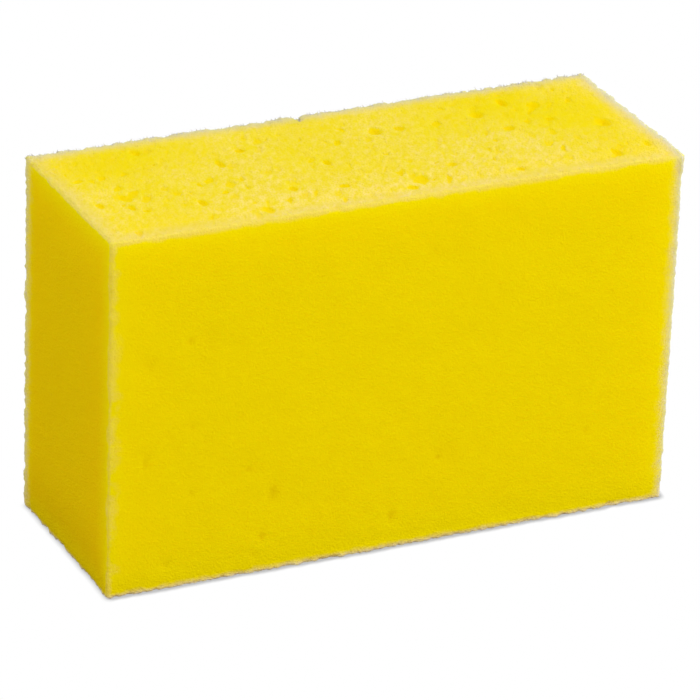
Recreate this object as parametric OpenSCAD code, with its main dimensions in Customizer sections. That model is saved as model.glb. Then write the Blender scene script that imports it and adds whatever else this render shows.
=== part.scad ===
// Cleaning sponge: one block of open-cell foam, knife-cut on all six faces.
// It stands on its long narrow face. The origin is the middle of that face,
// +X runs along the length, +Y through the thickness and +Z up.

/* [Block] */
// Length of the block, along X
block_l = 160; // [120:1:200]
// Thickness of the block, along Y
block_t = 58; // [40:1:80]
// Height of the block as it stands, along Z
block_h = 100; // [70:1:130]
// Radius to which the cut edges are eased
edge_r = 0.8; // [0.4:0.1:1.6]

/* [Cells] */
// Diameter of the smallest cell that is modelled
cell_d_min = 1.2; // [1:0.1:2]
// Diameter of the largest blow hole
cell_d_max = 3.4; // [2.5:0.1:5]
// Least web of foam left between two cells
cell_web = 0.6; // [0.4:0.1:1.5]
// How strongly the sizes lean to the small end
cell_size_bias = 2; // [1:0.5:4]
// Cells tried for each square centimetre of a narrow face
narrow_density = 2; // [0:0.1:3]
// Cells tried for each square centimetre of a broad face
broad_density = 0.4; // [0:0.1:2]
// Number that sets where the cells lie
cell_seed = 41; // [1:1:999]

/* [Quality] */
// Facets around a cell or an eased edge
$fn = 24; // [16:4:48]

/* [Hidden] */
foam_yellow = "#f0d200";
cm2 = 100;
// Whole foam kept in the middle of each face, as a place to measure from
land_d = 8;
// How far a cell's centre lies under the cut, as a share of its diameter
sink_min = -0.2;
sink_max = 0.25;
// Depth of the deepest cell, and the band along each edge that centres stay
// out of, so that cells of two neighbouring faces never run into each other
cell_depth_max = cell_d_max * (0.5 + sink_max);
edge_band = cell_depth_max + cell_d_max / 2 + cell_web;
// The large cells that mark this block, each with its place from the middle of
// the face, its width and its depth. They are open holes on the rough top and
// soft dents over closed cells on the smooth faces.
TOP_HOLES = [
    [-74, -7, 2.8, 1.3], [-66, -5, 3.9, 1.3], [-67, -11, 2.7, 1.3], [-64, -14, 2.3, 1.3],
    [-53, 21, 3.4, 1.3], [-49, -14, 3, 1.3], [-35, 7, 3.4, 1.3], [-35, -24, 3.3, 1.3],
    [-27, 13, 3, 1.3], [-24, -14, 2.6, 1.3], [-11, -17, 2.9, 1.3], [-9, -2, 2.8, 1.3],
    [5, -24, 3, 1.3], [11, 12, 3.6, 1.3], [18, 12, 3.2, 1.3], [21, -14, 2.7, 1.3],
    [36, -23, 2.6, 1.3], [41, 13, 4.4, 1.3], [45, 2, 3.3, 1.3], [51, 18, 3.8, 1.3],
    [58, 14, 3.8, 1.3], [58, 4, 2.6, 1.3], [64, -22, 3.7, 1.3], [70, -3, 4.7, 1.3],
    [74, -20, 2.5, 1.3]
];
FRONT_DENTS = [
    [-69, 14, 5, 0.3], [-58, 19, 2, 0.35], [-70, -13, 3.5, 0.35], [-57, -5, 2.5, 0.35],
    [-57, -24, 2.2, 0.35], [-64, -43, 3, 0.35], [-34, -28, 4.1, 0.5], [-37, -40, 2.9, 0.5],
    [-39, -45, 2.6, 0.4], [-41, -20, 2, 0.35], [0, -41, 3.9, 0.5], [13, -26, 2, 0.35],
    [56, -26, 2, 0.35]
];
BACK_DENTS = [[31, 34, 3.7, 0.35], [-22, -9, 2.4, 0.35], [52, -21, 4, 0.35]];
LEFT_DENTS = [[-21, 14, 2.2, 0.35]];
RIGHT_DENTS = [[-12, -9, 3.3, 0.35]];
// Each cut face: its centre, the turn that points +Z out of it, its size across
// X and Y before that turn, its cells for each square centimetre, and its own
// large cells
FACES = [
    [[0, 0, block_h], [0, 0, 0], [block_l, block_t], narrow_density, TOP_HOLES],
    [[0, 0, 0], [180, 0, 0], [block_l, block_t], narrow_density, []],
    [[block_l / 2, 0, block_h / 2], [0, 90, 0], [block_h, block_t], narrow_density, RIGHT_DENTS],
    [[-block_l / 2, 0, block_h / 2], [0, -90, 0], [block_h, block_t], narrow_density, LEFT_DENTS],
    [[0, -block_t / 2, block_h / 2], [90, 0, 0], [block_l, block_h], broad_density, FRONT_DENTS],
    [[0, block_t / 2, block_h / 2], [-90, 0, 0], [block_l, block_h], broad_density, BACK_DENTS]
];

// One cell, made from four numbers between 0 and 1 at place i of the list:
// [x, y, diameter, depth of its centre under the face].
function cell(field, chance, i) =
    let (d = cell_d_min + (cell_d_max - cell_d_min) * pow(chance[i + 2], cell_size_bias))
    [
        (chance[i] - 0.5) * field.x,
        (chance[i + 1] - 0.5) * field.y,
        d,
        d * (sink_min + (sink_max - sink_min) * chance[i + 3])
    ];

// A large cell as [x, y, diameter, depth of its centre under the face]: the
// sphere that leaves an opening of the width and the depth that mark gives.
function large_cell(mark) =
    let (r = (pow(mark[2] / 2, 2) + pow(mark[3], 2)) / (2 * mark[3]))
    [mark.x, mark.y, 2 * r, mark[3] - r];

// The cells tried in a field, spread over it evenly at random.
function tried_cells(field, count, seed) =
    let (chance = rands(0, 1, 4 * count, seed))
    [for (i = [0:1:count - 1]) cell(field, chance, 4 * i)];

// True where a new cell leaves the web between it and every one kept so far.
function is_clear(new, kept) =
    len([
        for (old = kept)
            if (norm([old.x - new.x, old.y - new.y]) < (old[2] + new[2]) / 2 + cell_web) old
    ]) == 0;

// Goes through the tried cells in turn and keeps each one that is clear.
function scatter(tried, kept, i = 0) =
    i == len(tried) ? kept
    : scatter(tried, is_clear(tried[i], kept) ? concat(kept, [tried[i]]) : kept, i + 1);

// Outline with its four corners rounded, centred on the origin.
module eased_outline(w, h) {
    square([w - 2 * edge_r, h], center = true);
    square([w, h - 2 * edge_r], center = true);
    for (x = [-1, 1], y = [-1, 1])
        translate([x * (w / 2 - edge_r), y * (h / 2 - edge_r)]) circle(r = edge_r);
}

// The block as the knife leaves it: what three eased prisms, one along each
// axis, have in common. It is centred on the origin.
module cut_block() {
    intersection() {
        linear_extrude(height = block_h, center = true) eased_outline(block_l, block_t);
        rotate([90, 0, 0])
            linear_extrude(height = block_t, center = true) eased_outline(block_l, block_h);
        rotate([0, 90, 0])
            linear_extrude(height = block_l, center = true) eased_outline(block_h, block_t);
    }
}

// The cells that the knife opened in a face that lies at z = 0 and looks up:
// its own large ones, and smaller ones scattered between them.
module open_cells(size, density, seed, marks) {
    field = [size.x - 2 * edge_band, size.y - 2 * edge_band];
    count = round(density * field.x * field.y / cm2);
    land = [0, 0, land_d, 0];
    large = [for (m = marks) if (abs(m.x) < field.x / 2 && abs(m.y) < field.y / 2) large_cell(m)];
    kept = scatter(tried_cells(field, count, seed), concat([land], large));
    for (i = [1:1:len(kept) - 1])
        translate([kept[i].x, kept[i].y, -kept[i][3]]) sphere(d = kept[i][2]);
}

// The whole sponge.
module foam_block() {
    color(foam_yellow) difference() {
        translate([0, 0, block_h / 2]) cut_block();
        for (i = [0:1:len(FACES) - 1])
            translate(FACES[i][0]) rotate(FACES[i][1])
                open_cells(FACES[i][2], FACES[i][3], cell_seed + i, FACES[i][4]);
    }
}

foam_block();
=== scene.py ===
"""Cleaning sponge: one knife-cut block of yellow open-cell polyurethane foam.

The block stands on its long narrow face. Its surface is one closed mesh: an eased
block on which a node tree opens the cells of the rough narrow faces, tears the cut
edges and lays the slow waves that a band knife leaves. The cells are drawn out along
the way in which the foam rose. The broad faces and the ends are nearly smooth, with a
few soft dents over large closed cells. The foam's colour and fine relief follow the
same cells, and it is paler along its torn edges. Light and shade are also painted into
the colour: painted shade on the ends, in the dents and along the top's edges, painted
light high up on the ends, at the foot and in the opened cells, a painted highlight on
the top and the base, and painted shade and backlight along the right, the back and the
base. A second piece holds the loose struts that stand along the back edge of the top,
and their grey is painted shade.
"""

import sys
import logging
import math
from dataclasses import dataclass
from enum import Enum
from typing import ClassVar

import bpy
import numpy as np
from mathutils import Matrix, Vector


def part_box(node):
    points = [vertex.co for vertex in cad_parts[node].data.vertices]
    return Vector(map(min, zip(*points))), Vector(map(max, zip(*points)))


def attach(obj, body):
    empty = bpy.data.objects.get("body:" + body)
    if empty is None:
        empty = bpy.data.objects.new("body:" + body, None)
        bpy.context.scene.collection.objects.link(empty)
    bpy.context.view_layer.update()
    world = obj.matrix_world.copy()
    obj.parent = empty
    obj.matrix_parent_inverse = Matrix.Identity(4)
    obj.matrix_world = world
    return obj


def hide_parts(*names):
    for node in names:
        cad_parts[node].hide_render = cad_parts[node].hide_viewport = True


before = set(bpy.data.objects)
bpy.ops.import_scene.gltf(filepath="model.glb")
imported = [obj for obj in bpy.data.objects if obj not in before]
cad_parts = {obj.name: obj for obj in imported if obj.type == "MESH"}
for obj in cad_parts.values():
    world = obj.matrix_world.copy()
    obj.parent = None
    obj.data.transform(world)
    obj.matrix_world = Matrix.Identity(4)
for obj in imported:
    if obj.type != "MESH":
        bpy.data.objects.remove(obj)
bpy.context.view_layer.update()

MM = 0.001
# The parts of a noise's range that are stretched to a whole effect. The second is
# narrower, which makes its patches sharper.
NOISE_SPAN = (0.3, 0.7)
NOISE_MIDDLE = (0.35, 0.65)
log = logging.getLogger("sponge")

Tree = bpy.types.NodeTree
Socket = bpy.types.NodeSocket


def linear(code: str) -> tuple[float, float, float, float]:
    """Turn an sRGB hex colour into linear light.

    Args:
        code: the colour as "#rrggbb".

    Returns:
        Red, green, blue and an alpha of 1, in linear light.
    """
    parts = [int(code[i : i + 2], 16) / 255 for i in (1, 3, 5)]
    light = [c / 12.92 if c <= 0.04045 else ((c + 0.055) / 1.055) ** 2.4 for c in parts]
    return (light[0], light[1], light[2], 1.0)


def add_node(tree: Tree, kind: str, inputs: dict, **settings) -> bpy.types.Node:
    """Add one node to a tree, with its settings and links.

    Args:
        tree: the tree that takes the node.
        kind: the node's type, such as "ShaderNodeMath".
        inputs: for each input's name or number, an output to link or a value to set.
        settings: the node's own settings, by name.

    Returns:
        The new node.
    """
    node = tree.nodes.new(kind)
    for name, value in settings.items():
        setattr(node, name, value)
    for key, value in inputs.items():
        if isinstance(value, Socket):
            tree.links.new(value, node.inputs[key])
        else:
            node.inputs[key].default_value = value
    return node


def new_material(name: str) -> bpy.types.Material:
    """Make a material whose node tree is empty.

    Args:
        name: the material's name.

    Returns:
        The material.
    """
    made = bpy.data.materials.new(name)
    made.use_nodes = True
    made.node_tree.nodes.clear()
    return made


def new_piece(name: str, points: np.ndarray, faces: np.ndarray) -> bpy.types.Object:
    """Make a smooth-shaded piece whose faces all have the same number of corners.

    Args:
        name: the name of the piece and of its mesh.
        points: the points, in metres.
        faces: the numbers of each face's corners, one face to a row.

    Returns:
        The piece, which is in the scene.
    """
    mesh = bpy.data.meshes.new(name)
    mesh.vertices.add(len(points))
    mesh.vertices.foreach_set("co", points.ravel())
    mesh.loops.add(faces.size)
    mesh.loops.foreach_set("vertex_index", faces.ravel())
    mesh.polygons.add(len(faces))
    mesh.polygons.foreach_set("loop_start", np.arange(0, faces.size, faces.shape[1]))
    mesh.polygons.foreach_set("use_smooth", np.ones(len(faces), dtype=bool))
    mesh.update(calc_edges=True)
    piece = bpy.data.objects.new(name, mesh)
    bpy.context.scene.collection.objects.link(piece)
    return piece


@dataclass(frozen=True)
class Block:
    """The block's place and size, from the frame, in metres."""

    centre: Vector
    half: Vector

    @classmethod
    def from_frame(cls, node: str) -> "Block":
        """Read the block from its node in the frame."""
        low, high = (Vector(corner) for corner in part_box(node))
        return cls(centre=(low + high) / 2, half=(high - low) / 2)

    def way_out(self, points: np.ndarray, ease: float) -> np.ndarray:
        """Find the way out of the block, which turns smoothly over the eased edges.

        Args:
            points: points on the block, in metres from its centre.
            ease: the radius of the edges, in metres.

        Returns:
            A unit vector for each point.
        """
        core = np.array(self.half) - ease
        out = points - np.clip(points, -core, core)
        return out / np.linalg.norm(out, axis=1, keepdims=True)


class Cut(Enum):
    """The six cut faces: the axis that each looks along, and which way."""

    TOP = (2, 1)
    BASE = (2, -1)
    FRONT = (1, -1)
    BACK = (1, 1)
    LEFT = (0, -1)
    RIGHT = (0, 1)


@dataclass(frozen=True)
class Place:
    """Where a point lies in the block, as outputs in millimetres.

    off is measured from the block's middle, under is the depth under the nearest cut
    face, edge the distance from the nearest edge, cap the distance from the nearer of
    the top and the base, and height is measured from the base. narrow is 1 on the top
    and the base, and end is 1 on the two ends. Each blend is how far from an edge one
    of those two starts and is whole.
    """

    NARROW_BLEND: ClassVar[tuple[float, float]] = (-0.3, 0.3)
    END_BLEND: ClassVar[tuple[float, float]] = (-1.0, 8.0)

    at: Socket
    off: Socket
    under: Socket
    edge: Socket
    cap: Socket
    narrow: Socket
    end: Socket
    height: Socket

    @classmethod
    def lay(cls, tree: Tree, metres: Socket, block: Block) -> "Place":
        """Work the place out from a position.

        Args:
            tree: the tree that takes the nodes.
            metres: the position, in metres.
            block: the block that the position belongs to.

        Returns:
            The place.
        """
        at = add_node(tree, "ShaderNodeVectorMath", {0: metres, "Scale": 1 / MM},
                      operation="SCALE").outputs[0]
        off = add_node(tree, "ShaderNodeVectorMath", {0: at, 1: block.centre / MM},
                       operation="SUBTRACT").outputs[0]
        size = add_node(tree, "ShaderNodeVectorMath", {0: off}, operation="ABSOLUTE")
        left = add_node(tree, "ShaderNodeVectorMath", {0: block.half / MM, 1: size.outputs[0]},
                        operation="SUBTRACT")
        x, y, z = add_node(tree, "ShaderNodeSeparateXYZ", {0: left.outputs[0]}).outputs
        low = add_node(tree, "ShaderNodeMath", {0: x, 1: y}, operation="MINIMUM").outputs[0]
        high = add_node(tree, "ShaderNodeMath", {0: x, 1: y}, operation="MAXIMUM").outputs[0]
        under = add_node(tree, "ShaderNodeMath", {0: low, 1: z}, operation="MINIMUM")
        upper = add_node(tree, "ShaderNodeMath", {0: high, 1: z}, operation="MINIMUM")
        edge = add_node(tree, "ShaderNodeMath", {0: low, 1: upper.outputs[0]},
                        operation="MAXIMUM")
        lead = add_node(tree, "ShaderNodeMath", {0: low, 1: z}, operation="SUBTRACT")
        side = add_node(tree, "ShaderNodeMath", {0: y, 1: z}, operation="MINIMUM")
        inset = add_node(tree, "ShaderNodeMath", {0: side.outputs[0], 1: x},
                         operation="SUBTRACT")
        narrow, end = (
            add_node(tree, "ShaderNodeMapRange",
                     {"Value": depth.outputs[0], "From Min": start, "From Max": whole})
            for depth, (start, whole) in ((lead, cls.NARROW_BLEND), (inset, cls.END_BLEND)))
        height = add_node(tree, "ShaderNodeSeparateXYZ", {0: at}).outputs[2]
        return cls(at, off, under.outputs[0], edge.outputs[0], z, narrow.outputs[0],
                   end.outputs[0], height)


@dataclass(frozen=True)
class Rise:
    """The way in which the foam rose, aslant of the block, and how far it drew cells out."""

    way: tuple[float, float, float] = (0.433, 0.901, 0.0)
    stretch: float = 2.0

    def lay(self, tree: Tree, at: Socket) -> Socket:
        """Squeeze space along the rise, so that what is laid in it comes out long that way.

        Args:
            tree: the tree that takes the nodes.
            at: the place, in millimetres.

        Returns:
            The place in the squeezed space, in millimetres.
        """
        along = add_node(tree, "ShaderNodeVectorMath", {0: at, 1: self.way},
                         operation="DOT_PRODUCT").outputs["Value"]
        drawn = add_node(tree, "ShaderNodeVectorMath", {0: self.way, "Scale": along},
                         operation="SCALE").outputs[0]
        return add_node(tree, "ShaderNodeVectorMath",
                        {0: drawn, 1: (1 / self.stretch - 1,) * 3, 2: at},
                        operation="MULTIPLY_ADD").outputs[0]


@dataclass(frozen=True)
class Cells:
    """One family of packed foam cells, of which the knife opened a share.

    Sizes are in millimetres. A cell is size long across the rise of the foam and longer
    along it. The wall is what stands between two cells, the rim is the slope from it to
    the floor of the cell, and the floor lies up to depth deep, and at least the shallow
    share of that. The walls wander by bend, and turn about bend_rate times a cell.
    """

    size: float
    open_share: float
    wall: float
    rim: float
    depth: float
    shallow: float = 0.3
    bend: float = 0.5
    bend_rate: float = 0.9
    rise: Rise = Rise()

    def lay(self, tree: Tree, at: Socket) -> Socket:
        """Lay the cells through space.

        Args:
            tree: the tree that takes the nodes.
            at: the place, in millimetres.

        Returns:
            How deep the opened cell is at that place, in millimetres.
        """
        risen = self.rise.lay(tree, at)
        bend = add_node(tree, "ShaderNodeTexNoise",
                        {"Vector": risen, "Scale": self.bend_rate / self.size})
        centred = add_node(tree, "ShaderNodeVectorMath",
                           {0: bend.outputs["Color"], 1: (0.5, 0.5, 0.5)}, operation="SUBTRACT")
        bent = add_node(tree, "ShaderNodeVectorMath",
                        {0: centred.outputs[0], 1: (2 * self.bend,) * 3, 2: risen},
                        operation="MULTIPLY_ADD")
        spread = {"Vector": bent.outputs[0], "Scale": 1 / self.size}
        cell = add_node(tree, "ShaderNodeTexVoronoi", spread, feature="F1")
        wall = add_node(tree, "ShaderNodeTexVoronoi", spread, feature="DISTANCE_TO_EDGE")
        draw = add_node(tree, "ShaderNodeSeparateXYZ", {0: cell.outputs["Color"]}).outputs[0]
        closed = 1 - self.open_share
        opened = add_node(tree, "ShaderNodeMath", {0: draw, 1: closed}, operation="GREATER_THAN")
        reach = add_node(tree, "ShaderNodeMapRange",
                         {"Value": draw, "From Min": closed, "To Min": self.shallow * self.depth,
                          "To Max": self.depth})
        bowl = add_node(tree, "ShaderNodeMapRange",
                        {"Value": wall.outputs["Distance"],
                         "From Min": self.wall / self.size,
                         "From Max": (self.wall + self.rim) / self.size},
                        interpolation_type="SMOOTHSTEP")
        cut = add_node(tree, "ShaderNodeMath", {0: opened.outputs[0], 1: reach.outputs[0]},
                       operation="MULTIPLY")
        return add_node(tree, "ShaderNodeMath", {0: cut.outputs[0], 1: bowl.outputs[0]},
                        operation="MULTIPLY").outputs[0]


@dataclass(frozen=True)
class Dent:
    """A large cell at a cut face: a soft dent where it is closed, a hole where it is open.

    Sizes are in millimetres. Its middle is measured from the middle of the face, along
    the face's first axis and along its second one. A depth below 0 makes it a bulge. At
    its rim it has dropped to exp(-fall) of its depth, and a higher steepness turns the
    soft dent into a hole with a rim.
    """

    cut: Cut
    along: float
    up: float
    across: float
    tall: float
    depth: float = 0.35
    fall: float = 1.2
    steepness: float = 1.0

    def press(self, points: np.ndarray, out: np.ndarray, half: np.ndarray) -> np.ndarray:
        """Work out how far the dent moves each point.

        Args:
            points: points on the block, in metres from its centre.
            out: the way out of the block at each point.
            half: half the block's size along each axis, in metres.

        Returns:
            The move of each point, in metres.
        """
        axis, way = self.cut.value
        first, second = (other for other in range(3) if other != axis)
        x = (points[:, first] / MM - self.along) / (self.across / 2)
        y = (points[:, second] / MM - self.up) / (self.tall / 2)
        on_face = points[:, axis] * way > half[axis] - MM
        bowl = np.exp(-self.fall * (x * x + y * y) ** self.steepness) * on_face
        return -out * bowl[:, None] * self.depth * MM


@dataclass(frozen=True)
class CutFoam:
    """Open-cell polyether polyurethane foam, dyed in the mass and cut with a band knife.

    The surface is a froth of broken cell walls that face every way, so it has no gloss
    of its own: light goes in, bounces from wall to wall and comes out more yellow.
    Strands that the knife left standing alone are thin, and look paler than the mass.

    A name that ends in mm holds millimetres. A pair holds what a thing goes from and to.
    """

    # Whole foam: on the broad faces, and on the ends half way up, low down and high up.
    # The ends' deeper tone is painted shade, deepest low down, and lighter high up as painted
    # light. sole_mm is measured up from the base, and brow_mm down from the top.
    mass: str = "#f4de00"
    end: str = "#f4cf00"
    end_painted_shade_low: str = "#e7c000"
    end_painted_light_high: str = "#fad500"
    sole_mm: tuple[float, float] = (0.0, 22.0)
    brow_mm: tuple[float, float] = (20.0, 2.0)

    # The rough faces, their opened cells, and the dents of the smooth faces. The dents are
    # darker as painted shade in their hollows, and the opened cells lighter as painted light
    # that lifts the shade in them.
    rough: str = "#edd200"
    pore_painted_light: str = "#f2d500"
    dent: str = "#eed600"
    hollow_mm: tuple[float, float] = (0.12, 0.5)

    # The light that comes back out of the foam, which is little close to the floor.
    ior: float = 1.5
    roughness: float = 0.95
    gloss: float = 0.02
    glow: tuple[float, float] = (0.25, 0.85)
    glow_from_mm: tuple[float, float] = (1.0, 8.0)
    glow_mm: tuple[float, float, float] = (11.0, 11.0, 0.4)

    # The smallest cells, and the froth of bare strands on the rough faces. It is palest
    # in slow patches, and drift_from_mm chooses how they fall on the block. The froth's
    # paleness is partly the paler strand tips and partly a painted highlight of the strong
    # light on the top, which the base shares.
    grain_mm: float = 0.55
    grain_span: tuple[float, float] = (0.2, 0.7)
    relief_mm: float = 0.18
    strand: str = "#fbdf9e"
    blotch_mm: float = 1.5
    tips: tuple[float, float] = (0.05, 0.27)
    struts: tuple[float, float] = (0.6, 1.5)
    drift_mm: float = 50.0
    drift_from_mm: float = 17_920.0
    drift_span: tuple[float, float] = (0.36, 0.62)
    patches: tuple[float, float] = (0.15, 1.2)
    sunk: tuple[float, float] = (1.0, 0.05)
    sunk_mm: tuple[float, float] = (0.12, 0.45)

    # The paler edges, on the rough faces and on the smooth ones, and how far they reach. On
    # the rough faces the edge is also darker, as painted shade along the top's edges.
    rough_edge_pale_and_shade: str = "#ccaa90"
    rough_edge_shade_share: tuple[float, float] = (0.32, 0.0)
    rough_edge_shade_mm: float = 5.0
    torn: str = "#deb898"
    torn_share: tuple[float, float] = (0.24, 0.4)
    tatter_mm: float = 4.5
    ragged_mm: tuple[float, float] = (0.8, 3.4)
    lip_mm: tuple[float, float] = (1.2, 1.9)
    lip_whole: float = 0.4
    crown_mm: tuple[float, float] = (6.0, 3.0)
    end_part: float = 0.4
    end_reach: tuple[float, float] = (1.3, 0.55)

    # The thin fringe, how far it reaches in from the right, the back and the base on the
    # smooth faces and on the rough ones, and how far on those three faces themselves. Its
    # grey colour is painted shade at the very edge and painted backlight through the thin
    # foam, and foot, close to the floor, is lighter as painted light.
    fringe: str = "#cbc4b2"
    foot: str = "#f0e6d0"
    foot_mm: tuple[float, float] = (0.5, 4.0)
    fringe_mm: tuple[float, float, float] = (3.4, 6.0, 1.7)
    rough_fringe_mm: tuple[float, float, float] = (7.5, 9.0, 1.7)
    far_fringe_mm: float = 2.6
    far_share: tuple[float, float] = (0.08, 0.16)
    fall: tuple[float, float] = (2.0, 4.0)
    mottle_mm: float = 2.857
    uneven: tuple[float, float] = (0.75, 1.25)

    def whole_foam(self, tree: Tree, place: Place, block: Block) -> Socket:
        """Choose the colour of whole foam by the face, the height and the open cells, with
        painted shade and light on the ends, in the dents and in the opened cells.

        Args:
            tree: the tree that takes the nodes.
            place: where the point lies.
            block: the block that is dressed.

        Returns:
            The colour.
        """
        high = 2 * block.half.z / MM
        # Painted light and shade: the ends are lighter along the top and deeper towards the floor.
        end = linear(self.end_painted_shade_low)
        for start, whole, shade in ((*self.sole_mm, self.end),
                                    (high - self.brow_mm[0], high - self.brow_mm[1],
                                     self.end_painted_light_high)):
            share = add_node(tree, "ShaderNodeMapRange",
                             {"Value": place.height, "From Min": start, "From Max": whole},
                             interpolation_type="SMOOTHSTEP")
            end = add_node(tree, "ShaderNodeMix",
                           {"Factor": share.outputs[0], "A": end, "B": linear(shade)},
                           data_type="RGBA").outputs["Result"]
        skin = add_node(tree, "ShaderNodeMix",
                        {"Factor": place.end, "A": linear(self.mass), "B": end},
                        data_type="RGBA").outputs["Result"]
        # By depth: painted shade darkens the dents, and painted light lifts the opened cells.
        hollow = add_node(tree, "ShaderNodeMapRange",
                          {"Value": place.under, "From Min": self.hollow_mm[0],
                           "From Max": self.hollow_mm[1]}).outputs[0]
        smooth, rough = (
            add_node(tree, "ShaderNodeMix", {"Factor": hollow, "A": level, "B": linear(sunk)},
                     data_type="RGBA").outputs["Result"]
            for level, sunk in ((skin, self.dent), (linear(self.rough), self.pore_painted_light)))
        return add_node(tree, "ShaderNodeMix",
                        {"Factor": place.narrow, "A": smooth, "B": rough},
                        data_type="RGBA").outputs["Result"]

    def froth(self, tree: Tree, place: Place, risen: Socket, grain: Socket) -> Socket:
        """Find how pale the froth is: full yellow in the open cells, pale at strand tips, and
        paler on the top and the base as a painted highlight.

        Args:
            tree: the tree that takes the nodes.
            place: where the point lies.
            risen: that place in space squeezed along the rise, in millimetres.
            grain: how far it is from the middle of its smallest cell, in cells.

        Returns:
            The share of the strands' colour, which is 0 on the smooth faces.
        """
        blotch = add_node(tree, "ShaderNodeTexNoise",
                          {"Vector": risen, "Scale": 1 / self.blotch_mm, "Detail": 1.0})
        away = add_node(tree, "ShaderNodeVectorMath",
                        {0: place.at, 1: (self.drift_from_mm, 0, 0)}, operation="ADD")
        patch = add_node(tree, "ShaderNodeTexNoise",
                         {"Vector": away.outputs[0], "Scale": 1 / self.drift_mm,
                          "Detail": 1.0})
        pale = add_node(tree, "ShaderNodeMapRange",
                        {"Value": place.under, "From Min": self.sunk_mm[0],
                         "From Max": self.sunk_mm[1], "To Min": self.sunk[0],
                         "To Max": self.sunk[1]}, interpolation_type="SMOOTHSTEP").outputs[0]
        for value, (low, high), (least, most) in (
                (blotch.outputs[0], NOISE_SPAN, self.tips),
                (grain, self.grain_span, self.struts),
                (patch.outputs[0], self.drift_span, self.patches),
                (place.narrow, (0, 1), (0, 1))):
            share = add_node(tree, "ShaderNodeMapRange",
                             {"Value": value, "From Min": low, "From Max": high,
                              "To Min": least, "To Max": most})
            pale = add_node(tree, "ShaderNodeMath", {0: pale, 1: share.outputs[0]},
                            operation="MULTIPLY").outputs[0]
        return pale

    def edging(self, tree: Tree, place: Place, block: Block) -> tuple[Socket, Socket]:
        """Find how pale the cut edges are, where the foam is torn and thin, and on the rough
        faces how much painted shade darkens them.

        Args:
            tree: the tree that takes the nodes.
            place: where the point lies.
            block: the block that is dressed.

        Returns:
            The share of the edges' colour, and that colour.
        """
        tatter = add_node(tree, "ShaderNodeTexNoise",
                          {"Vector": place.at, "Scale": 1 / self.tatter_mm, "Detail": 1.5})
        ragged, lip = (
            add_node(tree, "ShaderNodeMapRange",
                     {"Value": tatter.outputs[0], "From Min": NOISE_MIDDLE[0],
                      "From Max": NOISE_MIDDLE[1], "To Min": least,
                      "To Max": most}).outputs[0]
            for least, most in (self.ragged_mm, self.lip_mm))
        # Along the top and the base the knife left a cleaner edge, and the band is narrow.
        crown = add_node(tree, "ShaderNodeMapRange",
                         {"Value": place.cap, "From Min": self.crown_mm[0],
                          "From Max": self.crown_mm[1]}).outputs[0]
        band = add_node(tree, "ShaderNodeMix", {"Factor": crown, "A": ragged, "B": lip})
        spread = add_node(tree, "ShaderNodeMapRange",
                          {"Value": place.end, "From Max": self.end_part,
                           "To Min": self.end_reach[0], "To Max": self.end_reach[1]})
        reach = add_node(tree, "ShaderNodeMath", {0: band.outputs[0], 1: spread.outputs[0]},
                         operation="MULTIPLY")
        near = add_node(tree, "ShaderNodeMath", {0: place.edge, 1: reach.outputs[0]},
                        operation="DIVIDE")
        whole = add_node(tree, "ShaderNodeMath", {0: crown, 1: self.lip_whole},
                         operation="MULTIPLY")
        high = 2 * block.half.z / MM
        most = add_node(tree, "ShaderNodeMapRange",
                        {"Value": place.height, "From Min": high - self.crown_mm[0],
                         "From Max": high, "To Min": self.torn_share[0],
                         "To Max": self.torn_share[1]})
        fray = add_node(tree, "ShaderNodeMapRange",
                        {"Value": near.outputs[0], "From Min": 1.0,
                         "From Max": whole.outputs[0], "To Max": most.outputs[0]},
                        interpolation_type="SMOOTHSTEP")
        # Painted shade and paleness along the edges of the top and the base.
        rough_edge_shade = add_node(tree, "ShaderNodeMapRange",
                          {"Value": place.edge, "From Max": self.rough_edge_shade_mm,
                           "To Min": self.rough_edge_shade_share[0], "To Max": self.rough_edge_shade_share[1]})
        share = add_node(tree, "ShaderNodeMix",
                         {"Factor": place.narrow, "A": fray.outputs[0],
                          "B": rough_edge_shade.outputs[0]})
        tone = add_node(tree, "ShaderNodeMix",
                        {"Factor": place.narrow, "A": linear(self.torn),
                         "B": linear(self.rough_edge_pale_and_shade)}, data_type="RGBA")
        return share.outputs[0], tone.outputs["Result"]

    def fringed(self, tree: Tree, place: Place, block: Block) -> tuple[Socket, Socket]:
        """Find the thin fringe where the knife came out: the back, the right and the base. Its
        colour is painted shade and backlight, and painted light at the foot.

        Args:
            tree: the tree that takes the nodes.
            place: where the point lies.
            block: the block that is dressed.

        Returns:
            How thin the foam is there, which sets how strong its painted shade and backlight
            are, from 0 to 1 at the very edge, and its colour.
        """
        depths = add_node(tree, "ShaderNodeVectorMath",
                          {0: place.off, 1: (-1, -1, 1), 2: block.half / MM},
                          operation="MULTIPLY_ADD")
        reach = add_node(tree, "ShaderNodeMix",
                         {"Factor": place.narrow, "A": self.fringe_mm,
                          "B": self.rough_fringe_mm}, data_type="VECTOR")
        shares = add_node(tree, "ShaderNodeVectorMath",
                          {0: depths.outputs[0], 1: reach.outputs["Result"]},
                          operation="DIVIDE")
        x, y, z = add_node(tree, "ShaderNodeSeparateXYZ", {0: shares.outputs[0]}).outputs
        low = add_node(tree, "ShaderNodeMath", {0: x, 1: y}, operation="MINIMUM").outputs[0]
        least = add_node(tree, "ShaderNodeMath", {0: low, 1: z}, operation="MINIMUM").outputs[0]
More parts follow.
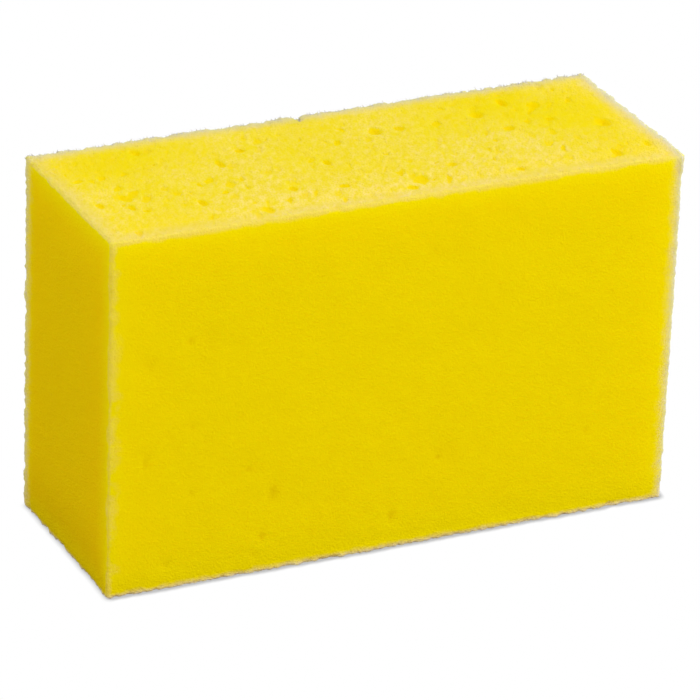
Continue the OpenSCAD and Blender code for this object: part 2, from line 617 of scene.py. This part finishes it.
        # On the back, the right and the base themselves it is only a narrow band.
        far = add_node(tree, "ShaderNodeMapRange",
                       {"Value": least, "From Min": self.far_share[0],
                        "From Max": self.far_share[1], "To Min": self.far_fringe_mm,
                        "To Max": max(self.fringe_mm)})
        most = add_node(tree, "ShaderNodeMix",
                        {"Factor": place.narrow, "A": far.outputs[0],
                         "B": max(self.rough_fringe_mm)})
        own = add_node(tree, "ShaderNodeMath", {0: place.edge, 1: most.outputs[0]},
                       operation="DIVIDE").outputs[0]
        share = add_node(tree, "ShaderNodeMath", {0: least, 1: own}, operation="MAXIMUM")
        mottle = add_node(tree, "ShaderNodeTexNoise",
                          {"Vector": place.at, "Scale": 1 / self.mottle_mm, "Detail": 3.0,
                           "Roughness": 0.6})
        uneven = add_node(tree, "ShaderNodeMapRange",
                          {"Value": mottle.outputs[0], "From Min": NOISE_SPAN[0],
                           "From Max": NOISE_SPAN[1], "To Min": self.uneven[0],
                           "To Max": self.uneven[1]})
        torn = add_node(tree, "ShaderNodeMath", {0: share.outputs[0], 1: uneven.outputs[0]},
                        operation="DIVIDE")
        thin = add_node(tree, "ShaderNodeMapRange",
                        {"Value": torn.outputs[0], "To Min": 1.0, "To Max": 0.0})
        fall = add_node(tree, "ShaderNodeMapRange",
                        {"Value": place.narrow, "To Min": self.fall[0],
                         "To Max": self.fall[1]})
        rim_shade_share = add_node(tree, "ShaderNodeMath",
                            {0: thin.outputs[0], 1: fall.outputs[0]}, operation="POWER")
        # Close to the floor the fringe turns to foot, a lighter colour that is painted light.
        lifted = add_node(tree, "ShaderNodeMapRange",
                          {"Value": place.height, "From Min": self.foot_mm[0],
                           "From Max": self.foot_mm[1]})
        tone = add_node(tree, "ShaderNodeMix",
                        {"Factor": lifted.outputs[0], "A": linear(self.foot),
                         "B": linear(self.fringe)}, data_type="RGBA")
        return rim_shade_share.outputs[0], tone.outputs["Result"]

    def material(self, block: Block) -> bpy.types.Material:
        """Make the material for a block of this foam.

        Args:
            block: the block that it dresses.

        Returns:
            The material.
        """
        made = new_material("cut_polyurethane_foam")
        tree = made.node_tree
        position = add_node(tree, "ShaderNodeTexCoord", {}).outputs["Object"]
        place = Place.lay(tree, position, block)
        risen = Rise().lay(tree, place.at)
        grain = add_node(tree, "ShaderNodeTexVoronoi",
                         {"Vector": risen, "Scale": 1 / self.grain_mm},
                         feature="F1").outputs["Distance"]
        colour = self.whole_foam(tree, place, block)
        for share, tone in (
                (self.froth(tree, place, risen, grain), linear(self.strand)),
                self.edging(tree, place, block), self.fringed(tree, place, block)):
            colour = add_node(tree, "ShaderNodeMix",
                              {"Factor": share, "A": colour, "B": tone},
                              data_type="RGBA").outputs["Result"]
        glow = add_node(tree, "ShaderNodeMapRange",
                        {"Value": place.height, "From Min": self.glow_from_mm[0],
                         "From Max": self.glow_from_mm[1], "To Min": self.glow[0],
                         "To Max": self.glow[1]})
        bump = add_node(tree, "ShaderNodeBump",
                        {"Height": grain, "Distance": self.relief_mm * MM})
        shader = add_node(tree, "ShaderNodeBsdfPrincipled",
                          {"Base Color": colour, "Normal": bump.outputs[0],
                           "IOR": self.ior, "Roughness": self.roughness,
                           "Specular IOR Level": self.gloss,
                           "Subsurface Weight": glow.outputs[0],
                           "Subsurface Radius": self.glow_mm, "Subsurface Scale": MM})
        add_node(tree, "ShaderNodeOutputMaterial", {"Surface": shader.outputs[0]})
        return made


@dataclass
class SpongeBlock:
    """The sponge: sizes in millimetres and the methods that build and dress it."""

    block: Block
    foam: CutFoam = CutFoam()

    # The blank and its grid, which is finer in a band along each edge. The right end
    # stands out by the first lean at half height, and by the second one more at the top,
    # and a higher lean_power keeps that closer to the end.
    ease: float = 0.8
    lean: tuple[float, float] = (0.35, 0.3)
    lean_power: int = 4
    steps: tuple[float, float, float] = (0.32, 0.32, 0.5)
    edge_step: float = 0.22
    edge_band: float = 3.3
    chart_gap: float = 2.0
    most_triangles: int = 196_000

    # The waves of the knife.
    wave_sizes: tuple[float, float] = (26.0, 7.0)
    wave_depths: tuple[float, float] = (0.6, 0.35)

    # The torn edges: from front to back, from the floor up, and the band of the nicks.
    fray_reach: float = 2.2
    fray_size: float = 2.6
    fray_depth: float = 0.45
    fray_back: tuple[float, float] = (0.65, 1.1)
    fray_foot: tuple[float, float] = (1.2, 0.0)
    foot_reach: float = 6.0
    nick_band: tuple[float, float] = (8.0, 2.0)
    nicks: Cells = Cells(size=6.0, open_share=0.1, wall=0.9, rim=1.2, depth=1.0,
                         rise=Rise(stretch=1.0))

    # The opened cells, how far they are pressed down at the edges, and what share of
    # their depth they have on the smooth faces.
    pressed: tuple[float, float] = (0.45, 1.0)
    pressed_reach: float = 3.0
    smooth_share: float = 0.06
    froth: Cells = Cells(size=1.3, open_share=0.5, wall=0.1, rim=0.45, depth=0.3)
    pores: Cells = Cells(size=2.7, open_share=0.45, wall=0.33, rim=0.45, depth=0.5)
    holes: Cells = Cells(size=4.2, open_share=0.1, wall=0.6, rim=0.8, depth=0.6)

    # The large cells, the notch in the back edge, and where corners and edges stand in
    # or out.
    dents: tuple[Dent, ...] = (
        Dent(Cut.FRONT, along=-69, up=14, across=5, tall=5, depth=0.3),
        Dent(Cut.FRONT, along=-58, up=19, across=2, tall=2),
        Dent(Cut.FRONT, along=-70, up=-13, across=2.5, tall=4.5),
        Dent(Cut.FRONT, along=-57, up=-5, across=2.5, tall=2.5),
        Dent(Cut.FRONT, along=-57, up=-24, across=2.5, tall=2),
        Dent(Cut.FRONT, along=-64, up=-43, across=3, tall=3),
        Dent(Cut.FRONT, along=-34, up=-28, across=3.2, tall=5, depth=0.5),
        Dent(Cut.FRONT, along=-37, up=-40, across=2.6, tall=3.2, depth=0.5),
        Dent(Cut.FRONT, along=-39, up=-45, across=2.6, tall=2.6, depth=0.4),
        Dent(Cut.FRONT, along=-41, up=-20, across=2, tall=2),
        Dent(Cut.FRONT, along=0, up=-41, across=3.2, tall=4.6, depth=0.5),
        Dent(Cut.FRONT, along=13, up=-26, across=2, tall=2),
        Dent(Cut.FRONT, along=56, up=-26, across=2, tall=2),
        Dent(Cut.LEFT, along=14, up=-21, across=2.2, tall=2.2),
        Dent(Cut.RIGHT, along=-9, up=12, across=3, tall=3.6),
        Dent(Cut.BACK, along=31, up=-34, across=3, tall=4.4),
        Dent(Cut.BACK, along=-22, up=9, across=2.4, tall=2.4),
        Dent(Cut.BACK, along=52, up=21, across=4, tall=4),
        *(Dent(Cut.TOP, along, up, across, tall, depth=0.75, steepness=2.0)
          for along, up, across, tall in (
              (-74, -7, 2.2, 3.4), (-66, -5, 3.2, 4.6), (-67, -11, 1.8, 3.6),
              (-64, -14, 2.6, 2), (-53, 21, 2.8, 4), (-49, -14, 2, 4), (-35, 7, 2.2, 4.6),
              (-35, -24, 2.6, 4), (-27, 13, 3, 3), (-24, -14, 2.2, 3), (-11, -17, 3.2, 2.6),
              (-9, -2, 2, 3.6), (5, -24, 3, 3), (11, 12, 3.6, 3.6), (18, 12, 3, 3.4),
              (21, -14, 2.8, 2.6), (36, -23, 2.6, 2.6), (41, 13, 4, 4.8), (45, 2, 3.2, 3.4),
              (51, 18, 2.6, 5), (58, 14, 3.6, 4), (58, 4, 2.6, 2.6), (64, -22, 2.4, 5),
              (70, -3, 4, 5.4), (74, -20, 2, 3))),
        Dent(Cut.TOP, along=-4, up=28.6, across=1.5, tall=4, depth=2.6),
        Dent(Cut.TOP, along=79, up=-28, across=6, tall=6, depth=0.8),
        Dent(Cut.RIGHT, along=-27, up=47.5, across=6, tall=6, depth=-0.6),
        Dent(Cut.LEFT, along=0, up=-49.5, across=55, tall=3, depth=0.25, steepness=2.0),
        Dent(Cut.FRONT, along=15, up=-49.5, across=130, tall=4, depth=-0.25, steepness=2.0),
    )

    def lines(self, half: float, step: float) -> np.ndarray:
        """Place the grid lines along one axis, closer together near both ends.

        Args:
            half: half the block's size along the axis, in metres.
            step: the distance between lines away from the ends, in millimetres.

        Returns:
            The places of the lines, in metres from the centre.
        """
        reach = half / MM
        rim = np.arange(0, self.edge_band - self.edge_step / 2, self.edge_step)
        count = round(2 * (reach - self.edge_band) / step)
        middle = np.linspace(self.edge_band - reach, reach - self.edge_band, count + 1)
        return np.concatenate([rim - reach, middle, (reach - rim)[::-1]]) * MM

    def charts(self) -> dict[Cut, tuple[float, float]]:
        """Lay the six faces out flat, side by side.

        Returns:
            The lowest corner of each face's chart, in millimetres.
        """
        x, y, z = (2 * h / MM + self.chart_gap for h in self.block.half)
        return {Cut.FRONT: (0, 0), Cut.BACK: (z, 0), Cut.LEFT: (2 * z, 0),
                Cut.RIGHT: (2 * z, z), Cut.TOP: (0, x), Cut.BASE: (0, x + y)}

    def grid(self) -> tuple[np.ndarray, np.ndarray, np.ndarray]:
        """Lay a welded grid over the six faces of the block.

        Returns:
            The points, in metres from the block's centre, the four-sided faces, and the
            place of each face's corners on the flat layout, from 0 to 1.
        """
        axes = [self.lines(h, step) for h, step in zip(self.block.half, self.steps)]
        counts = [len(a) for a in axes]
        strides = (counts[1] * counts[2], counts[2], 1)
        quads, flats = [], []
        for cut, low in self.charts().items():
            w, way = cut.value
            u, v = (w + 1) % 3, (w + 2) % 3
            i, j = np.meshgrid(np.arange(counts[u]), np.arange(counts[v]), indexing="ij")
            end = (counts[w] - 1) * (way > 0)
            key = i * strides[u] + j * strides[v] + end * strides[w]
            flat = [corner + (axes[axis][line] - axes[axis][0]) / MM
                    for corner, axis, line in ((low[0], u, i), (low[1], v, j))]
            for sheet, kept in ((key, quads), (np.stack(flat, axis=-1), flats)):
                loop = [sheet[:-1, :-1], sheet[1:, :-1], sheet[1:, 1:], sheet[:-1, 1:]]
                kept.append(np.stack(loop[::way], axis=2).reshape(-1, 4, *sheet.shape[2:]))
        keys, corners = np.unique(np.concatenate(quads), return_inverse=True)
        places = [axes[0][keys // strides[0]], axes[1][keys // strides[1] % counts[1]],
                  axes[2][keys % counts[2]]]
        flats = np.concatenate(flats)
        return np.stack(places, axis=1), corners.reshape(-1, 4), flats / flats.max()

    def blank(self) -> bpy.types.Object:
        """Build the block before any cell is opened, as a fine welded mesh.

        Returns:
            The piece, whose mesh keeps the way out of the block at each point.
        """
        points, quads, flats = self.grid()
        half = np.array(self.block.half)
        out = self.block.way_out(points, self.ease * MM)
        core = half - self.ease * MM
        points = np.clip(points, -core, core) + out * self.ease * MM
        points = points + sum(dent.press(points, out, half) for dent in self.dents)
        # The right end isn't cut quite square: it stands out, and most at the top.
        right = np.clip(points[:, 0] / half[0], 0, 1) ** self.lean_power
        high = points[:, 2] / half[2]
        points[:, 0] += right * (self.lean[0] + self.lean[1] * high) * MM
        piece = new_piece("sponge_foam", points + np.array(self.block.centre), quads)
        way_out = piece.data.attributes.new("way_out", "FLOAT_VECTOR", "POINT")
        way_out.data.foreach_set("vector", out.ravel())
        layout = piece.data.uv_layers.new(name="OFBake")
        layout.uv.foreach_set("vector", flats.ravel())
        return piece

    def opened(self, tree: Tree, place: Place) -> Socket:
        """Open the cells of the rough faces: froth everywhere, and some larger cells.

        Args:
            tree: the tree that takes the nodes.
            place: where the point lies.

        Returns:
            How deep the surface lies there, in millimetres.
        """
        deepest = self.froth.lay(tree, place.at)
        for family in (self.pores, self.holes):
            cells = family.lay(tree, place.at)
            deepest = add_node(tree, "ShaderNodeMath", {0: deepest, 1: cells},
                               operation="MAXIMUM").outputs[0]
        openness = add_node(tree, "ShaderNodeMapRange",
                            {"Value": place.narrow, "To Min": self.smooth_share})
        # Close to the edges the knife has pressed the froth down.
        inset = add_node(tree, "ShaderNodeMapRange",
                         {"Value": place.edge, "From Max": self.pressed_reach,
                          "To Min": self.pressed[0], "To Max": self.pressed[1]})
        share = add_node(tree, "ShaderNodeMath", {0: openness.outputs[0], 1: inset.outputs[0]},
                         operation="MULTIPLY")
        return add_node(tree, "ShaderNodeMath", {0: deepest, 1: share.outputs[0]},
                        operation="MULTIPLY").outputs[0]

    def frayed(self, tree: Tree, place: Place) -> Socket:
        """Tear the cut edges, most at the back and the foot, and nick the top and the base.

        Args:
            tree: the tree that takes the nodes.
            place: where the point lies.

        Returns:
            How deep the tear is there, in millimetres.
        """
        rough = add_node(tree, "ShaderNodeTexNoise",
                         {"Vector": place.at, "Scale": 1 / self.fray_size, "Detail": 3.0,
                          "Roughness": 0.6})
        torn = add_node(tree, "ShaderNodeMapRange",
                        {"Value": rough.outputs[0], "From Min": NOISE_SPAN[0],
                         "From Max": NOISE_SPAN[1], "To Min": -self.fray_depth,
                         "To Max": self.fray_depth})
        capped = add_node(tree, "ShaderNodeMapRange",
                          {"Value": place.cap, "From Min": self.nick_band[0],
                           "From Max": self.nick_band[1]})
        nicks = add_node(tree, "ShaderNodeMath",
                         {0: self.nicks.lay(tree, place.at), 1: capped.outputs[0],
                          2: torn.outputs[0]}, operation="MULTIPLY_ADD")
        y = add_node(tree, "ShaderNodeSeparateXYZ", {0: place.off}).outputs[1]
        reach = self.block.half.y / MM
        behind = add_node(tree, "ShaderNodeMapRange",
                          {"Value": y, "From Min": -reach, "From Max": reach,
                           "To Min": self.fray_back[0], "To Max": self.fray_back[1]})
        foot = add_node(tree, "ShaderNodeMapRange",
                        {"Value": place.height, "From Max": self.foot_reach,
                         "To Min": self.fray_foot[0], "To Max": self.fray_foot[1]})
        share = add_node(tree, "ShaderNodeMath", {0: behind.outputs[0], 1: foot.outputs[0]},
                         operation="MAXIMUM")
        both = add_node(tree, "ShaderNodeMath", {0: nicks.outputs[0], 1: share.outputs[0]},
                        operation="MULTIPLY")
        near = add_node(tree, "ShaderNodeMapRange",
                        {"Value": place.edge, "From Max": self.fray_reach, "To Min": 1.0,
                         "To Max": 0.0}, interpolation_type="SMOOTHSTEP")
        return add_node(tree, "ShaderNodeMath", {0: both.outputs[0], 1: near.outputs[0]},
                        operation="MULTIPLY").outputs[0]

    def waved(self, tree: Tree, place: Place) -> Socket:
        """Lay the slow waves of the knife, long ones with shorter ones on them.

        Args:
            tree: the tree that takes the nodes.
            place: where the point lies.

        Returns:
            How deep the wave lies there, in millimetres.
        """
        waves = []
        for size, depth in zip(self.wave_sizes, self.wave_depths):
            slow = add_node(tree, "ShaderNodeTexNoise",
                            {"Vector": place.at, "Scale": 1 / size, "Detail": 1.0})
            waves.append(add_node(tree, "ShaderNodeMapRange",
                                  {"Value": slow.outputs[0], "To Min": -depth / 2,
                                   "To Max": depth / 2}).outputs[0])
        return add_node(tree, "ShaderNodeMath", {0: waves[0], 1: waves[1]},
                        operation="ADD").outputs[0]

    def carving(self) -> Tree:
        """Make the tree that opens the cells, frays the edges and lays the waves.

        Returns:
            The node tree, which moves the blank's points in along its way_out.
        """
        tree = bpy.data.node_groups.new("foam_carving", "GeometryNodeTree")
        for way in ("INPUT", "OUTPUT"):
            tree.interface.new_socket("Geometry", in_out=way, socket_type="NodeSocketGeometry")
        surface = add_node(tree, "NodeGroupInput", {}).outputs[0]
        out = add_node(tree, "GeometryNodeInputNamedAttribute", {"Name": "way_out"},
                       data_type="FLOAT_VECTOR").outputs[0]
        position = add_node(tree, "GeometryNodeInputPosition", {}).outputs[0]
        place = Place.lay(tree, position, self.block)
        total = self.opened(tree, place)
        for part in (self.frayed(tree, place), self.waved(tree, place)):
            total = add_node(tree, "ShaderNodeMath", {0: total, 1: part},
                             operation="ADD").outputs[0]
        inward = add_node(tree, "ShaderNodeMath", {0: total, 1: -MM}, operation="MULTIPLY")
        offset = add_node(tree, "ShaderNodeVectorMath", {0: out, "Scale": inward.outputs[0]},
                          operation="SCALE")
        carved = add_node(tree, "ShaderNodeVectorMath", {0: position, 1: offset.outputs[0]},
                          operation="ADD")
        # Nothing reaches below the face that the sponge stands on.
        x, y, z = add_node(tree, "ShaderNodeSeparateXYZ", {0: carved.outputs[0]}).outputs
        base = self.block.centre.z - self.block.half.z
        rested = add_node(tree, "ShaderNodeMath", {0: z, 1: base}, operation="MAXIMUM")
        joined = add_node(tree, "ShaderNodeCombineXYZ", {0: x, 1: y, 2: rested.outputs[0]})
        moved = add_node(tree, "GeometryNodeSetPosition",
                         {"Geometry": surface, "Position": joined.outputs[0]})
        add_node(tree, "NodeGroupOutput", {0: moved.outputs[0]})
        return tree

    def carve(self, piece: bpy.types.Object) -> None:
        """Open the cells in the blank and thin its mesh out where it is flat.

        Args:
            piece: the blank, which takes the carved mesh.
        """
        carving = piece.modifiers.new("carving", "NODES")
        carving.node_group = self.carving()
        thinning = piece.modifiers.new("thinning", "DECIMATE")
        thinning.ratio = self.most_triangles / (2 * len(piece.data.polygons))
        thinning.use_collapse_triangulate = True
        scene_view = bpy.context.evaluated_depsgraph_get()
        carved = bpy.data.meshes.new_from_object(piece.evaluated_get(scene_view))
        piece.modifiers.clear()
        blank = piece.data
        piece.data = carved
        bpy.data.meshes.remove(blank)
        carved.name = piece.name
        carved.polygons.foreach_set("use_smooth", np.ones(len(carved.polygons), dtype=bool))

    def build(self) -> bpy.types.Object:
        """Build and dress the sponge.

        Returns:
            The finished piece.
        """
        piece = self.blank()
        log.info("blank of %d faces", len(piece.data.polygons))
        self.carve(piece)
        piece.data.materials.append(self.foam.material(self.block))
        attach(piece, "root")
        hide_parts("foam_block")
        return piece


@dataclass(frozen=True)
class ThinStrand:
    """The same foam as a single strut, so thin that light passes and it looks pale."""

    # The struts' grey is painted shade, the same as the fringe's, and varies at random between the
    # two tones.
    shaded_grey: str = "#cbc4b2"
    bright: str = "#e0dccf"
    ior: float = 1.5
    roughness: float = 0.9
    gloss: float = 0.1
    glow: float = 1.0
    glow_mm: tuple[float, float, float] = (2.0, 2.0, 1.0)
    vary_mm: float = 1.5

    def material(self) -> bpy.types.Material:
        """Make the material, which varies from strut to strut.

        Returns:
            The material.
        """
        made = new_material("loose_polyurethane_strut")
        tree = made.node_tree
        position = add_node(tree, "ShaderNodeTexCoord", {}).outputs["Object"]
        vary = add_node(tree, "ShaderNodeTexNoise",
                        {"Vector": position, "Scale": 1 / (self.vary_mm * MM), "Detail": 1.0})
        share = add_node(tree, "ShaderNodeMapRange",
                         {"Value": vary.outputs[0], "From Min": NOISE_MIDDLE[0],
                          "From Max": NOISE_MIDDLE[1]})
        colour = add_node(tree, "ShaderNodeMix",
                          {"Factor": share.outputs[0], "A": linear(self.shaded_grey),
                           "B": linear(self.bright)}, data_type="RGBA")
        shader = add_node(tree, "ShaderNodeBsdfPrincipled",
                          {"Base Color": colour.outputs["Result"], "IOR": self.ior,
                           "Roughness": self.roughness, "Specular IOR Level": self.gloss,
                           "Subsurface Weight": self.glow,
                           "Subsurface Radius": self.glow_mm, "Subsurface Scale": MM})
        add_node(tree, "ShaderNodeOutputMaterial", {"Surface": shader.outputs[0]})
        return made


@dataclass
class LooseStrands:
    """The cell struts left standing along the top's back edge, where the knife came out.

    Lengths are in millimetres and the density is strands for each square millimetre. The
    waist is a strand's half width at its root and half way up, as a share of thick. It is
    sunk by root, and stands within band of the edge, where the way out turns over turn.
    """

    block: Block
    foam: bpy.types.Object
    finish: ThinStrand = ThinStrand()
    seed: int = 7
    shortest: float = 0.3
    longest: float = 0.8
    thick: float = 0.22
    root: float = 0.1
    lean: float = 0.3
    density: float = 1.2
    band: float = 1.2
    turn: float = 3.0
    waist: tuple[float, float] = (0.5, 0.35)

    def roots(self, chance: np.random.Generator) -> np.ndarray:
        """Choose where the strands stand, at random along the back edge of the top.

        Args:
            chance: the source of random numbers.

        Returns:
            The points, in metres from the block's centre.
        """
        mesh = self.foam.data
        places = np.empty(3 * len(mesh.vertices))
        mesh.vertices.foreach_get("co", places)
        places = places.reshape(-1, 3) - np.array(self.block.centre)
        corners = np.empty(3 * len(mesh.polygons), dtype=int)
        mesh.loops.foreach_get("vertex_index", corners)
        a, b, c = (places[corners[i::3]] for i in range(3))
        area = np.linalg.norm(np.cross(b - a, c - a), axis=1) / 2 / MM**2
        inset = (np.array(self.block.half) - np.abs((a + b + c) / 3)) / MM
        at_edge = (inset[:, 1:].max(axis=1) < self.band) & (a[:, 1:].min(axis=1) > 0)
        wanted = chance.poisson(area * at_edge * self.density)
        face = np.repeat(np.arange(len(area)), wanted)
        s, t = chance.random((2, len(face), 1))
        s, t = np.where(s + t > 1, 1 - s, s), np.where(s + t > 1, 1 - t, t)
        return a[face] + s * (b - a)[face] + t * (c - a)[face]

    def build(self) -> bpy.types.Object:
        """Build the strands as closed, bent and tapered three-sided struts.

        Returns:
            The finished piece.
        """
        chance = np.random.default_rng(self.seed)
        roots = self.roots(chance)
        count = len(roots)
        way = self.block.way_out(roots, self.turn * MM)
        way += self.lean * chance.normal(size=(count, 3))
        way /= np.linalg.norm(way, axis=1, keepdims=True)
        curl = way + self.lean * chance.normal(size=(count, 3))
        length = chance.uniform(self.shortest, self.longest, (count, 1)) * MM
        side = np.cross(way, chance.normal(size=(count, 3)))
        side /= np.linalg.norm(side, axis=1, keepdims=True)
        other = np.cross(way, side)
        rings = []
        starts = (roots - way * self.root * MM, roots + way * length / 2)
        for at, width in zip(starts, self.waist):
            for turn in (0, math.tau / 3, 2 * math.tau / 3):
                spoke = side * math.cos(turn) + other * math.sin(turn)
                rings.append(at + spoke * width * self.thick * MM)
        points = np.stack([*rings, roots + (way + curl) * length / 2], axis=1)
        # The foot, three sides of two triangles each, and three triangles up to the tip.
        shape = np.array([(0, 2, 1), (0, 1, 4), (0, 4, 3), (1, 2, 5), (1, 5, 4), (2, 0, 3),
                          (2, 3, 5), (3, 4, 6), (4, 5, 6), (5, 3, 6)])
        faces = (shape + points.shape[1] * np.arange(count)[:, None, None]).reshape(-1, 3)
        points = points.reshape(-1, 3) + np.array(self.block.centre)
        piece = new_piece("sponge_strands", points, faces)
        piece.data.materials.append(self.finish.material())
        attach(piece, "root")
        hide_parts("foam_block")
        return piece


@dataclass(frozen=True)
class StudioCamera:
    """The camera: where it stands and looks, in degrees and millimetres.

    Its azimuth is measured from straight in front of the block, towards the right.
    """

    azimuth: float = -25.67
    elevation: float = 25.29
    roll: float = 2.03
    distance: float = 1362.9
    lens: float = 267.7
    aim_off_middle: tuple[float, float, float] = (-0.7, -2.2, -4.7)

    def build(self, block: Block) -> bpy.types.Object:
        """Stand the camera and aim it at the block.

        Args:
            block: the block to look at.

        Returns:
            The camera.
        """
        turn, tip, roll = (math.radians(a) for a in (self.azimuth, self.elevation, self.roll))
        ahead = Vector((-math.sin(turn) * math.cos(tip), math.cos(turn) * math.cos(tip),
                        -math.sin(tip)))
        level = Vector((math.cos(turn), math.sin(turn), 0))
        rise = level.cross(ahead)
        right = level * math.cos(roll) + rise * math.sin(roll)
        data = bpy.data.cameras.new("camera")
        data.lens = self.lens
        data.clip_start = 0.01
        camera = bpy.data.objects.new("camera", data)
        aim = block.centre + Vector(self.aim_off_middle) * MM
        pose = Matrix((right, right.cross(ahead), -ahead)).transposed().to_4x4()
        pose.translation = aim - ahead * self.distance * MM
        camera.matrix_world = pose
        bpy.context.scene.collection.objects.link(camera)
        bpy.context.scene.camera = camera
        return camera


@dataclass(frozen=True)
class SoftBox:
    """A square studio lamp that looks at the block, with its lengths in metres.

    Its azimuth is measured from straight in front of the block, towards the right.
    """

    name: str
    azimuth: float
    elevation: float
    distance: float
    side: float
    watts: float
    colour: str = "#ffffff"

    def build(self, target: Vector) -> bpy.types.Object:
        """Hang the lamp.

        Args:
            target: the point that it looks at.

        Returns:
            The lamp.
        """
        turn, tip = math.radians(self.azimuth), math.radians(self.elevation)
        back = Vector((math.sin(turn) * math.cos(tip), -math.cos(turn) * math.cos(tip),
                       math.sin(tip)))
        data = bpy.data.lights.new(self.name, "AREA")
        data.shape = "SQUARE"
        data.size = self.side
        data.energy = self.watts
        data.color = linear(self.colour)[:3]
        lamp = bpy.data.objects.new(self.name, data)
        lamp.location = target + back * self.distance
        lamp.rotation_euler = back.to_track_quat("Z", "Y").to_euler()
        bpy.context.scene.collection.objects.link(lamp)
        return lamp


@dataclass(frozen=True)
class Studio:
    """A white sweep under soft light.

    The sweep darkens where the block stands over it within contact_mm, on the side of
    contact_way. It is darkened to contact_tone where contact_open of that side, or less,
    is open.
    """

    sky: float = 0.809
    sky_colour: str = "#ffffff"
    floor_side: float = 4.0
    floor_tone: str = "#b4a480"
    contact_mm: float = 1.7
    contact_way: tuple[float, float, float] = (-0.4, 0.25, 0.88)
    contact_open: float = 0.5
    contact_tone: float = 0.55
    lamps: tuple[SoftBox, ...] = (
        SoftBox("side_lamp", azimuth=88, elevation=42, distance=0.32, side=0.2, watts=0.03),
        SoftBox("front_lamp", azimuth=38, elevation=32, distance=1.6, side=1.0, watts=10.4),
        SoftBox("left_lamp", azimuth=-80, elevation=40, distance=0.25, side=0.1, watts=0.03),
        SoftBox("right_lamp", azimuth=50, elevation=25, distance=0.45, side=0.2, watts=0.04),
        SoftBox("rim_lamp", azimuth=-160, elevation=15, distance=1.3, side=0.8, watts=0.5),
    )

    def seen(self, tree: Tree) -> Socket:
        """Tell the rays that meet plain white: the camera's, and those off gloss or through glass.

        Args:
            tree: the tree that takes the nodes.

        Returns:
            1 for such a ray, and 0 for one that brings light to the block.
        """
        ray = add_node(tree, "ShaderNodeLightPath", {}).outputs
        shown = add_node(tree, "ShaderNodeMath",
                         {0: ray["Is Camera Ray"], 1: ray["Is Glossy Ray"]},
                         operation="MAXIMUM")
        return add_node(tree, "ShaderNodeMath",
                        {0: shown.outputs[0], 1: ray["Is Transmission Ray"]},
                        operation="MAXIMUM").outputs[0]

    def world(self) -> None:
        """Light the room evenly, and show white where the camera sees past the floor."""
        world = bpy.data.worlds.new("studio")
        world.use_nodes = True
        bpy.context.scene.world = world
        tree = world.node_tree
        tree.nodes.clear()
        light = add_node(tree, "ShaderNodeBackground",
                         {"Color": linear(self.sky_colour), "Strength": self.sky})
        white = add_node(tree, "ShaderNodeBackground",
                         {"Color": linear("#ffffff"), "Strength": 1.0})
        both = add_node(tree, "ShaderNodeMixShader",
                        {0: self.seen(tree), 1: light.outputs[0], 2: white.outputs[0]})
        add_node(tree, "ShaderNodeOutputWorld", {"Surface": both.outputs[0]})

    def floor(self) -> bpy.types.Object:
        """Lay the floor, which shows white but keeps the shadow at the block's foot.

        Returns:
            The floor.
        """
        side = self.floor_side / 2
        corners = [(-side, -side, 0), (side, -side, 0), (side, side, 0), (-side, side, 0)]
        floor = new_piece("floor", np.array(corners), np.array([(0, 1, 2, 3)]))
        paint = new_material("white_sweep")
        tree = paint.node_tree
        way = add_node(tree, "ShaderNodeCombineXYZ", dict(enumerate(self.contact_way)))
        contact = add_node(tree, "ShaderNodeAmbientOcclusion",
                           {"Distance": self.contact_mm * MM, "Normal": way.outputs[0]},
                           samples=16)
        shade = add_node(tree, "ShaderNodeMapRange",
                         {"Value": contact.outputs["AO"], "From Min": self.contact_open,
                          "To Min": self.contact_tone})
        seen = add_node(tree, "ShaderNodeEmission", {"Strength": shade.outputs[0]})
        lit = add_node(tree, "ShaderNodeBsdfDiffuse", {"Color": linear(self.floor_tone)})
        both = add_node(tree, "ShaderNodeMixShader",
                        {0: self.seen(tree), 1: lit.outputs[0], 2: seen.outputs[0]})
        add_node(tree, "ShaderNodeOutputMaterial", {"Surface": both.outputs[0]})
        floor.data.materials.append(paint)
        return floor

    def build(self, block: Block) -> None:
        """Set up the whole studio round a block.

        Args:
            block: the block that the lamps look at.
        """
        self.world()
        self.floor()
        for lamp in self.lamps:
            lamp.build(block.centre)
        bpy.context.scene.view_settings.view_transform = "Standard"


def main() -> None:
    """Build the sponge, the camera and the studio."""
    logging.basicConfig(level=logging.INFO, format="%(name)s: %(message)s", stream=sys.stdout)
    block = Block.from_frame("foam_block")
    sponge = SpongeBlock(block).build()
    strands = LooseStrands(block, sponge).build()
    for piece in (sponge, strands):
        log.info("%s: %d faces", piece.name, len(piece.data.polygons))
    StudioCamera().build(block)
    Studio().build(block)


if __name__ == "__main__":
    main()
